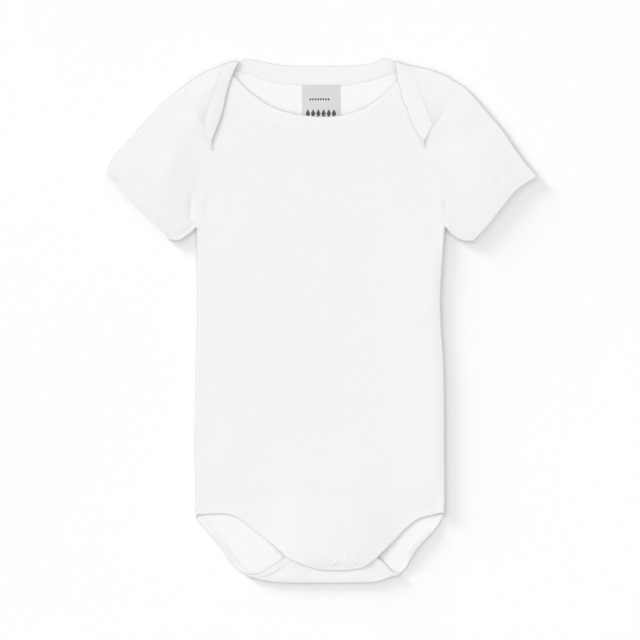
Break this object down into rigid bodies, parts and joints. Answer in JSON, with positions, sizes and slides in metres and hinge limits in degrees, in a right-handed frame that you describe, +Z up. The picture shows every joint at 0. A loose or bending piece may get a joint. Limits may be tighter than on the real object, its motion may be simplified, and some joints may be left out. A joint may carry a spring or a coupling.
{
  "type": "baby bodysuit",
  "caption": "Short-sleeved baby bodysuit laid flat, with lapped shoulders, bound neck and leg openings and a snap-fastened crotch flap.",
  "frame": {"origin": "middle of the laid-out garment's outline, on the surface that it lies on", "axes": "+Y from the crotch to the neck, +X to the viewer's right seen from above, +Z up from the surface"},
  "size_m": [0.3132, 0.383, 0.0074],
  "materials": {
    "jersey": "soft white cotton jersey, matt",
    "binding": "white folded cotton binding, matt",
    "label": "light grey woven satin ribbon",
    "snap": "white enamelled snap"
  },
  "bodies": {
    "root": {"back_panel": "jersey", "front_panel": "jersey", "sleeve_left": "jersey", "sleeve_right": "jersey", "front_neckband": "binding", "back_neckband": "binding", "leg_band_left": "binding", "leg_band_right": "binding", "neck_label": "label", "snap_1_ring": "snap", "snap_1_socket": "snap", "snap_1_stud": "snap", "snap_1_back_ring": "snap", "snap_2_ring": "snap", "snap_2_socket": "snap", "snap_2_stud": "snap", "snap_2_back_ring": "snap", "snap_3_ring": "snap", "snap_3_socket": "snap", "snap_3_stud": "snap", "snap_3_back_ring": "snap"}
  },
  "joints": []
}
